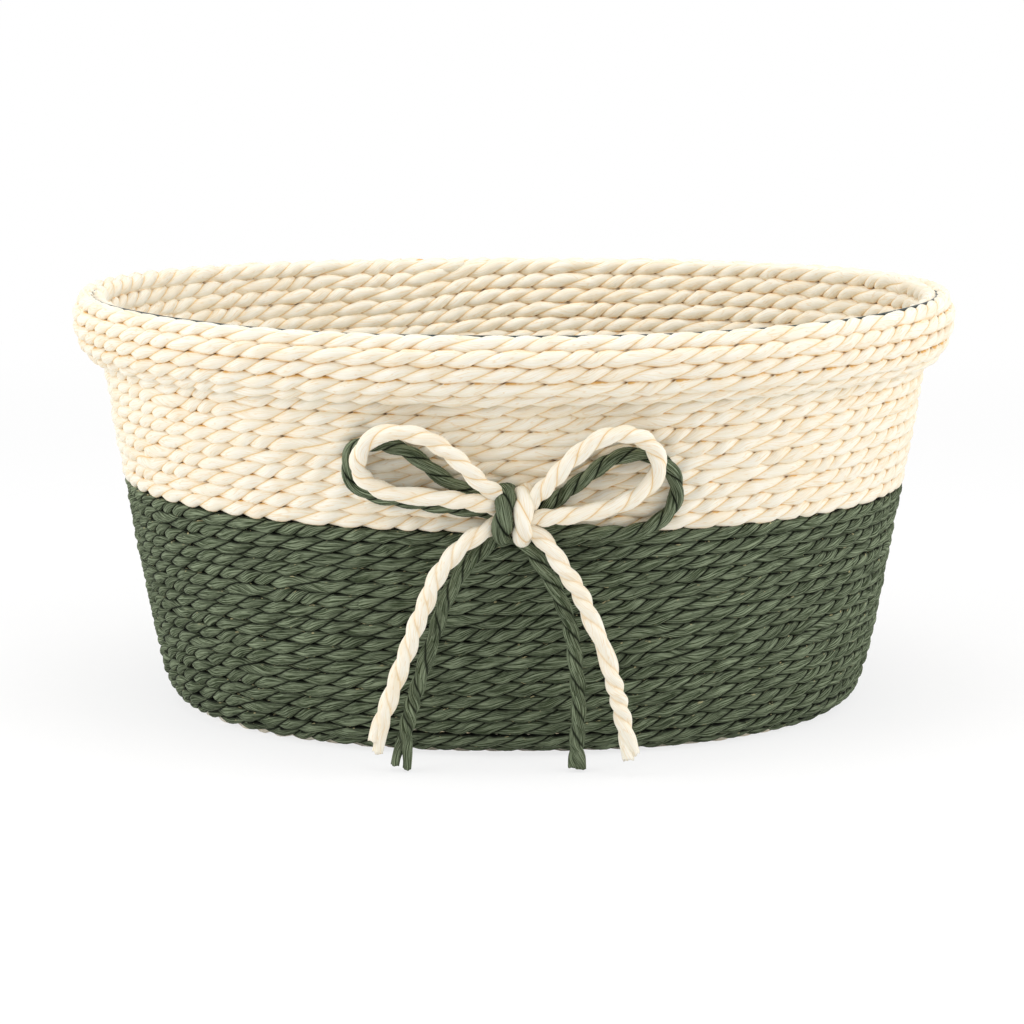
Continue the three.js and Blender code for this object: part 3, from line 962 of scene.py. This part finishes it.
class BASKET_OT_cream_wall(bpy.types.Operator):
    """Winds the cream rope of the upper wall, in three lengths, with rows that settle level at the lip"""

    bl_idname = "basket.cream_wall"
    bl_label = "Cream wall"

    def execute(self, context):
        b = derive(context.scene.basket_sizes)
        lip = b.cream_start + (b.cream_turns - 1) * b.cream_pitch - b.lip_sink
        last = b.cream_turns - 2
        first = b.cream_start + b.wall_rise
        even_to = first + EVEN_ROWS * b.cream_pitch
        wound = SimpleNamespace(
            profile=wall_profile,
            rows=np.interp(np.arange(last + 1), [0, EVEN_ROWS, last], [first, even_to, lip]),
            turns=(0, last + 1 - LIP_END),
            level=lambda row: row / last,
            push=lambda place, angle: (
                b.lip_rise * np.clip((place - EVEN_ROWS) / (last - EVEN_ROWS), 0, 1) * at_back(angle)
            ),
            meets=(1, 0),
        )
        names = ["cream_wall_lower", "cream_wall_middle", "cream_wall_upper"]
        add_wound(context, names, wound, "cream_rope", CREAM_SEED, "cream_wall_coil")
        return {"FINISHED"}


class BASKET_OT_rim_roll(bpy.types.Operator):
    """Winds the rolled rim down the outside of the lip"""

    bl_idname = "basket.rim_roll"
    bl_label = "Rolled rim"

    def execute(self, context):
        b = derive(context.scene.basket_sizes)
        wound = SimpleNamespace(
            profile=rim_profile,
            rows=np.linspace(0, roll_lengths(b)[1][-1], b.roll_rows),
            turns=(-RIM_EARLY, b.roll_rows - LIP_END),
            level=flat_rows,
            push=no_push,
            meets=(0, 0),
        )
        add_wound(context, ["rim_roll"], wound, "cream_rope", RIM_SEED, "rim_roll_coil")
        return {"FINISHED"}


class BASKET_OT_rim_wire(bpy.types.Operator):
    """Lays the coated wire in the valley between the lip and the rolled rim"""

    bl_idname = "basket.rim_wire"
    bl_label = "Rim wire"

    def execute(self, context):
        b = derive(context.scene.basket_sizes)
        out = WIRE_OUT * b.rim_stand
        step = np.arange(TURN_STEPS)
        angle = np.pi / 2 + step * 2 * np.pi / TURN_STEPS
        turn = np.arange(WIRE_COLUMNS) * 2 * np.pi / WIRE_COLUMNS
        wander = drift(step * WIRE_STEP, *WIRE_DRIFT, WIRE_SEED)
        wander = wander * np.sin(np.linspace(0, np.pi, TURN_STEPS)) ** WIRE_CLOSE
        wander = wander - WIRE_DROP * at_back(angle)
        reach = b.lip_reach + out * math.cos(b.wall_lean)
        height = b.lip_height - out * math.sin(b.wall_lean) + WIRE_UP
        points = on_oval(
            b,
            angle[:, None],
            reach + b.wire / 2 * np.cos(turn)[None, :],
            height + wander[:, None] + b.wire / 2 * np.sin(turn)[None, :],
        )
        quads = grid_faces(TURN_STEPS, WIRE_COLUMNS, closed=True)[:, TURNED_OVER]
        mesh = bpy.data.meshes.new("rim_wire_hoop")
        mesh.from_pydata((points.reshape(-1, 3) * MM).tolist(), [], quads.tolist())
        coat = coated_wire(context.scene.basket_colours)
        add_piece("rim_wire_hoop", mesh, coat, "rim_wire")
        return {"FINISHED"}


def wall_face(b, x, height, side):
    """Y of the solid wall's face at the front: halves the range of the cosine until it gives the place."""
    level = height + dip(b, height, -np.pi / 2)
    slope = b.lip_reach + (level - b.lip_height) * math.tan(b.wall_lean)
    reach = (slope + side * b.cream_half / math.cos(b.wall_lean)) * b.facet
    low, high = -np.ones_like(x), np.ones_like(x)
    for _ in range(HALVINGS):
        middle = (low + high) / 2
        short = strip_at(b, middle, reach) + reach * middle < x
        low, high = np.where(short, middle, low), np.where(short, high, middle)
    return -reach * np.sqrt(1 - low * low)


def on_wall(b, route, lift):
    """Points of a route across and up the wall, at a lift from its face."""
    route = np.asarray(route, float)
    height = b.knot_centre + route[:, 1] * math.cos(b.wall_lean)
    face = wall_face(b, route[:, 0], height, np.sign(lift))
    return np.stack([route[:, 0], face - lift / math.cos(b.wall_lean), height], -1)


def off_wall(b, route, lift):
    """Points of a route that hangs straight down in front of the wall, with heights as knot shares."""
    route = np.asarray(route, float)
    face = wall_face(b, np.zeros(1), np.full(1, b.knot_centre), 1)[0]
    return np.stack([route[:, 0], face - lift / math.cos(b.wall_lean), route[:, 1] * b.knot_centre], -1)


def drawn_in(b, route, lift):
    """Lift of a bow rope along its route, which the knot draws in towards the rope behind it."""
    near = smooth(1 - np.abs(np.asarray(route, float)[:, 0]) / KNOT_DRAW)
    return lift - KNOT_SINK * (lift - b.green_lift) * near


def curve_through(points, step):
    """A smooth curve through points: a natural cubic spline over a power of the chords, at even steps."""
    reach = np.linalg.norm(np.diff(points, axis=0), axis=1) ** CHORD_POWER
    chord = np.concatenate([[0], np.cumsum(reach)])
    gap = np.diff(chord)
    n = len(points)
    matrix = np.eye(n)
    right = np.zeros((n, 3))
    inner = np.arange(1, n - 1)
    matrix[inner, inner - 1] = gap[:-1]
    matrix[inner, inner] = 2 * (gap[:-1] + gap[1:])
    matrix[inner, inner + 1] = gap[1:]
    rise = np.diff(points, axis=0) / gap[:, None]
    right[1:-1] = 6 * (rise[1:] - rise[:-1])
    bend = np.linalg.solve(matrix, right)
    t = np.linspace(0, chord[-1], ROUTE_POINTS)
    k = np.clip(np.searchsorted(chord, t, side="right") - 1, 0, n - 2)
    a = ((chord[k + 1] - t) / gap[k])[:, None]
    c = ((t - chord[k]) / gap[k])[:, None]
    size = (gap[k] ** 2 / 6)[:, None]
    fine = (
        a * points[k] + c * points[k + 1] + size * ((a**3 - a) * bend[k] + (c**3 - c) * bend[k + 1])
    )
    at, path, _ = even(fine, [], step)
    return at, path


# Loops, across and up the wall from the middle of the knot, in millimetres
LOOPS = {
    "cream_loop_left": [
        (-2.5, 5.2), (-5.9, 8.1), (-10.4, 11.3), (-17.3, 18.8), (-24.2, 24.8), (-30.5, 28.6), (-37.6, 30.3),
        (-44.1, 30.2), (-48.7, 28.2), (-52.2, 24.6), (-54.2, 19.5), (-53.4, 14.6), (-50.6, 11.7),
        (-46.5, 9.3), (-40.5, 7.8), (-32.7, 7.2), (-22.2, 6.4), (-11.8, 4.9), (-5.9, 3), (-2.5, 1.6),
    ],
    "green_loop_left": [
        (-2.5, 3.6), (-5.9, 4.7), (-15.3, 8), (-21.6, 10.9), (-27.9, 15.5), (-34.5, 20.8), (-39.5, 23.5),
        (-46, 24.9), (-52, 24.8), (-56.2, 22.7), (-58, 17.5), (-57, 11.4), (-53.5, 7.8), (-46.5, 5.4),
        (-38, 4.4), (-29.4, 3.2), (-15.4, 1.6), (-5.9, 0.8), (-2.5, 0.5),
    ],
    "cream_loop_right": [
        (3, 1.6), (5.9, 4.9), (8.3, 7.8), (14.2, 14.5), (18.1, 19.3), (23.5, 24.1), (28.6, 27.8), (34, 29.7),
        (40, 29.7), (45.5, 27.4), (49.2, 22.8), (50.4, 18), (48.8, 13.2), (44, 8.2), (37.4, 4.5),
        (31.3, 2.6), (22.5, 0.9), (12.3, -0.2), (5.6, -1.3), (2.5, -1.9),
    ],
    "green_loop_right": [
        (2, -0.2), (4.5, 0.6), (10.1, 2.6), (15.9, 6.1), (20.9, 10.2), (26.8, 14.6), (31.5, 18.3),
        (36.5, 20.6), (42, 21.4), (47.5, 20.7), (52.5, 18.2), (56, 13), (57.1, 7), (55.6, 1.2), (52, -3),
        (46.1, -6.4), (40, -7.6), (33, -7.6), (25, -6.9), (15, -6), (5.6, -5.3), (2, -5),
    ],
}

# Tails, across and as shares of the knot's height
TAILS = {
    "cream_tail_left": [
        (-2.5, 0.985), (-5.9, 0.966), (-14.1, 0.922), (-18.8, 0.882), (-22.3, 0.84), (-25.8, 0.79),
        (-28.8, 0.73), (-31, 0.665), (-33.9, 0.592), (-36, 0.526), (-38.3, 0.459), (-41.1, 0.376),
        (-44.5, 0.272), (-46.7, 0.205), (-48.7, 0.117),
    ],
    "green_tail_left": [
        (-2.5, 0.94), (-5.9, 0.907), (-10.5, 0.864), (-15.1, 0.82), (-18.6, 0.774), (-21.2, 0.724),
        (-23.7, 0.674), (-27.4, 0.552), (-31.1, 0.435), (-33.2, 0.357), (-35.4, 0.283), (-38.1, 0.162),
        (-39.1, 0.091), (-40, 0.02),
    ],
    "cream_tail_right": [
        (2.5, 0.978), (5.6, 0.951), (11.1, 0.901), (14.1, 0.857), (17.9, 0.792), (21.8, 0.731),
        (24.4, 0.675), (27.4, 0.598), (30.6, 0.521), (32.9, 0.448), (34.7, 0.374), (36.5, 0.304),
        (37.9, 0.238), (39.5, 0.16), (41.2, 0.077),
    ],
    "green_tail_right": [
        (0.5, 0.925), (2.1, 0.907), (4.5, 0.88), (7.7, 0.834), (10.2, 0.789), (13.8, 0.728), (16.1, 0.675),
        (18.6, 0.606), (20.2, 0.538), (21.1, 0.474), (22, 0.388), (22.7, 0.299), (22.6, 0.201),
        (22.3, 0.122), (22.3, 0.016),
    ],
}

# Cut ends: length that opens, shares by which strands part, widen and thin, how ragged, hollow and uneven the
# cut is, and the angle that the strands settle at; lengths are in millimetres
CUT_FIELDS = "length", "part", "wide", "thin", "ragged", "hollow", "longer", "turn"
CUTS = {
    "cream_tail_left": (11, 0.1, 0.1, 0.2, 0.5, 1.2, 1.9, 1.3),
    "green_tail_left": (13, 0.5, 0.2, 0.28, 0.4, 1.0, 0.5, 1.5),
    "cream_tail_right": (10, 0.12, 0.2, 0.2, 0.7, 1.2, 0.6, 1.2),
    "green_tail_right": (9, 0.2, 0.3, 0.1, 0.3, 0.8, 0.3, 1.4),
}
# Wraps of the knot: place across, place up, how far the top leans right, and diameter
WRAPS = {"green_knot_wrap": (-3.8, 1.0, 0.9, 7.6), "cream_knot_wrap": (3.1, 0.3, 0.3, 7.2)}
# Front of the wraps beyond the front of the cream rope, share of half a circle that they go round each way,
# share of their depth at which they lie above and below, and how flat their front is
WRAP_OUT = 1.8
WRAP_TURN = 0.62
WRAP_NEAR = 0.25
WRAP_FLAT = 0.3
# Ties behind the wall: place up, reach to each side in millimetres, and clearances kept from the wall
TIES = {"cream_tie_inside": 4.5, "green_tie_inside": -4.5}
TIE_REACH = 11
TIE_CLEAR = 4


def bow_rope(context, b, name):
    """Diameter, lift from the wall, paper and slot of one of the bow's two ropes, which its name tells."""
    cream = name.startswith("cream")
    slot = "cream_rope" if cream else "green_rope"
    return SimpleNamespace(
        diameter=b.cream_cord if cream else b.green_cord,
        lift=b.cream_lift if cream else b.green_lift,
        paper=PAPERS[slot](context.scene.basket_colours),
        slot=slot,
    )


def add_bow_rope(b, bow, name, at, path, out, seed):
    """One twisted rope of the bow along its path."""
    form = rope(at, path, out, bow.diameter / 2, b.bow_lay, seed)
    return add_rope(name + "_rope", [form], bow.paper, name)


class BASKET_OT_bow_loops(bpy.types.Operator):
    """Lays the four loops of the bow on the wall"""

    bl_idname = "basket.bow_loops"
    bl_label = "Bow loops"

    def execute(self, context):
        b = derive(context.scene.basket_sizes)
        for number, (name, route) in enumerate(LOOPS.items()):
            bow = bow_rope(context, b, name)
            points = on_wall(b, route, drawn_in(b, route, bow.lift))
            at, path = curve_through(points, b.bow_step)
            seed = LOOP_SEED + SEED_STEP * number
            piece = add_bow_rope(b, bow, name, at, path, b.wall_out, seed)
        return {"FINISHED"}


class BASKET_OT_bow_tails(bpy.types.Operator):
    """Hangs the four tails of the bow, each with a cut end"""

    bl_idname = "basket.bow_tails"
    bl_label = "Bow tails"

    def execute(self, context):
        b = derive(context.scene.basket_sizes)
        forward = np.array([0.0, -1.0, 0.0])
        for number, (name, route) in enumerate(TAILS.items()):
            bow = bow_rope(context, b, name)
            points = off_wall(b, route, drawn_in(b, route, bow.lift))
            at, path = curve_through(points, b.bow_step)
            flare = SimpleNamespace(**dict(zip(CUT_FIELDS, CUTS[name])))
            seed = TAIL_SEED + SEED_STEP * number
            forms = [
                strand_tube(at, path, forward, bow.diameter / 2, b.bow_lay, seed, which, flare)
                for which in (0, 1)
            ]
            piece = add_rope(name + "_rope", forms, bow.paper, name)
        return {"FINISHED"}


class BASKET_OT_bow_knot(bpy.types.Operator):
    """Wraps the knot and lays the short stretches behind the wall"""

    bl_idname = "basket.bow_knot"
    bl_label = "Bow knot"

    def execute(self, context):
        b = derive(context.scene.basket_sizes)
        for number, (name, wrap) in enumerate(WRAPS.items()):
            at, path = self.wrap_path(b, *wrap)
            bow = bow_rope(context, b, name)
            bow.diameter = wrap[-1]
            sideways = np.array([1.0, 0.0, 0.0])
            add_bow_rope(b, bow, name, at, path, sideways, WRAP_SEED + SEED_STEP * number)
        for number, (name, up) in enumerate(TIES.items()):
            bow = bow_rope(context, b, name)
            route = [(x, up) for x in (-TIE_REACH, 0, TIE_REACH)]
            points = on_wall(b, route, -bow.diameter / 2 - TIE_CLEAR * b.seat)
            at, path = curve_through(points, b.bow_step)
            inward = np.array([0.0, 1.0, 0.0])
            add_bow_rope(b, bow, name, at, path, inward, TIE_SEED + SEED_STEP * number)
        return {"FINISHED"}

    def wrap_path(self, b, middle, up, tilt, diameter):
        """Centre line of a wrap: up by the sine of the turn and out by its cosine, flattened in front."""
        depth = b.cream_lift + b.cream_cord / 2 + WRAP_OUT - diameter / 2
        turn = np.linspace(-WRAP_TURN * np.pi, WRAP_TURN * np.pi, WRAP_POINTS)
        climb = up + (b.knot_height / 2 - diameter / 2) * np.sin(turn)
        round_front = np.cos(turn * (1 - WRAP_FLAT * np.cos(turn)))
        away = depth * (WRAP_NEAR + (1 - WRAP_NEAR) * round_front)
        base = on_wall(b, np.stack([middle + tilt * np.sin(turn), climb], -1), b.seat)
        at, path, _ = even(base + away[:, None] * b.wall_out, [], b.bow_step)
        return at, path


class BASKET_OT_stage(bpy.types.Operator):
    """Sets the pale floor, the soft lights, the white surround and the camera"""

    bl_idname = "basket.stage"
    bl_label = "Stage"

    def execute(self, context):
        scene = context.scene
        scene.view_settings.view_transform = "Standard"
        self.floor(scene)
        self.surround(scene)
        for name, (place, aim, size, power) in LAMPS.items():
            light = bpy.data.lights.new(name, "AREA")
            light.size = size
            light.energy = power
            self.aimed(scene, name, light, place, aim)
        lens = bpy.data.cameras.new("camera")
        lens.lens = CAMERA_LENS
        lens.sensor_width = CAMERA_SENSOR
        scene.camera = self.aimed(scene, "camera", lens, CAMERA_PLACE, CAMERA_AIM)
        return {"FINISHED"}

    def aimed(self, scene, name, data, place, aim):
        """A light or camera at a place, turned to its aim."""
        item = bpy.data.objects.new(name, data)
        item.location = place
        item.rotation_euler = (Vector(aim) - Vector(place)).to_track_quat("-Z", "Y").to_euler()
        scene.collection.objects.link(item)
        return item

    def floor(self, scene):
        """A disc of pale board: rings of a fan, so radius and angle are its two parameters."""
        side = np.arange(FLOOR_SIDES)
        angle = side * 2 * np.pi / FLOOR_SIDES
        ring = np.array(FLOOR_RADII)[:, None]
        x, y = ring * np.cos(angle), ring * np.sin(angle)
        points = np.stack([x, y, 0 * x], -1).reshape(-1, 3)
        middle = np.stack([side, (side + 1) % FLOOR_SIDES, np.full(FLOOR_SIDES, len(points))], -1)
        quads = grid_faces(len(FLOOR_RADII), FLOOR_SIDES)[:, TURNED_OVER]
        mesh = bpy.data.meshes.new("floor")
        mesh.from_pydata(points.tolist() + [[0, 0, 0]], [], middle.tolist() + quads.tolist())
        mesh.materials.append(self.studio_board(scene.basket_colours))
        board = bpy.data.objects.new("floor", mesh)
        scene.collection.objects.link(board)

    def studio_board(self, colours):
        """Matt white board: a glow lifts it where it is seen, it takes shadow, and far off it is white."""
        material, tree = new_material("white_studio_board")
        place = add_node(tree, "ShaderNodeTexCoord", None, "Object")
        far = add_node(tree, VECTOR, {0: place}, "Value", operation="LENGTH")
        start, end = FLOOR_FADE
        share = add_node(tree, RANGE, {0: far, 1: start, 2: end}, interpolation_type="SMOOTHSTEP")
        seen = self.seen(tree)
        glow = add_node(tree, EMISSION, {"Color": WHITE, "Strength": 1.0})
        lift = add_node(tree, EMISSION, {"Color": WHITE, "Strength": FLOOR_GLOW})
        matt = {"Base Color": (*colours.floor, 1), "Roughness": 0.9, "Specular IOR Level": 0.0}
        board = add_node(tree, SURFACE, matt)
        grey = 1 - FLOOR_GLOW
        dim = add_node(tree, "ShaderNodeBsdfDiffuse", {"Color": (grey, grey, grey, 1)})
        near = add_node(tree, "ShaderNodeAddShader", {0: dim, 1: lift})
        near = add_node(tree, MIX_SHADER, {0: seen, 1: board, 2: near})
        gone = add_node(tree, MATH, {0: share, 1: seen}, operation="MULTIPLY")
        shown = add_node(tree, MIX_SHADER, {0: gone, 1: near, 2: glow})
        add_node(tree, OUTPUT, {"Surface": shown})
        return material

    def seen(self, tree):
        """1 for rays that show the surround: straight from the camera, in gloss or through glass."""
        camera = add_node(tree, "ShaderNodeLightPath", None, "Is Camera Ray")
        gloss = add_node(tree, "ShaderNodeLightPath", None, "Is Glossy Ray")
        glass = add_node(tree, "ShaderNodeLightPath", None, "Is Transmission Ray")
        other = add_node(tree, MATH, {0: gloss, 1: glass}, operation="MAXIMUM")
        return add_node(tree, MATH, {0: camera, 1: other}, operation="MAXIMUM")

    def surround(self, scene):
        """White where it is seen, and a plain even light elsewhere."""
        world = bpy.data.worlds.new("surround")
        scene.world = world
        world.use_nodes = True
        tree = world.node_tree
        tree.nodes.clear()
        light = add_node(tree, "ShaderNodeBackground", {"Color": WHITE, "Strength": SURROUND_LIGHT})
        shown = add_node(tree, "ShaderNodeBackground", {"Color": WHITE, "Strength": 1.0})
        mixed = add_node(tree, MIX_SHADER, {0: self.seen(tree), 1: light, 2: shown})
        add_node(tree, "ShaderNodeOutputWorld", {"Surface": mixed})


OPERATORS = (
    BASKET_OT_stage,
    BASKET_OT_bow_loops,
    BASKET_OT_bow_tails,
    BASKET_OT_bow_knot,
    BASKET_OT_base_rope,
    BASKET_OT_green_wall,
    BASKET_OT_cream_wall,
    BASKET_OT_rim_roll,
    BASKET_OT_rim_wire,
)


class BASKET_PT_pieces(bpy.types.Panel):
    """Lists the pieces of the basket with their sizes and colours"""

    bl_idname = "BASKET_PT_pieces"
    bl_label = "Paper rope basket"
    bl_space_type = "VIEW_3D"
    bl_region_type = "UI"
    bl_category = "Basket"

    def draw(self, context):
        column = self.layout.column()
        for group in (context.scene.basket_sizes, context.scene.basket_colours):
            for name in type(group).__annotations__:
                column.prop(group, name)
        for operator in OPERATORS:
            column.operator(operator.bl_idname)


CLASSES = (BasketSizes, BasketColours, *OPERATORS, BASKET_PT_pieces)


def register():
    for item in CLASSES:
        bpy.utils.register_class(item)
    bpy.types.Scene.basket_sizes = bpy.props.PointerProperty(type=BasketSizes)
    bpy.types.Scene.basket_colours = bpy.props.PointerProperty(type=BasketColours)


def unregister():
    del bpy.types.Scene.basket_colours
    del bpy.types.Scene.basket_sizes
    for item in reversed(CLASSES):
        bpy.utils.unregister_class(item)


def main():
    """Registers the classes and makes every piece in order."""
    register()
    bpy.ops.basket.stage()
    bpy.ops.basket.bow_loops()
    bpy.ops.basket.bow_tails()
    bpy.ops.basket.bow_knot()
    bpy.ops.basket.base_rope()
    bpy.ops.basket.green_wall()
    bpy.ops.basket.cream_wall()
    bpy.ops.basket.rim_roll()
    bpy.ops.basket.rim_wire()


if __name__ == "__main__":
    main()
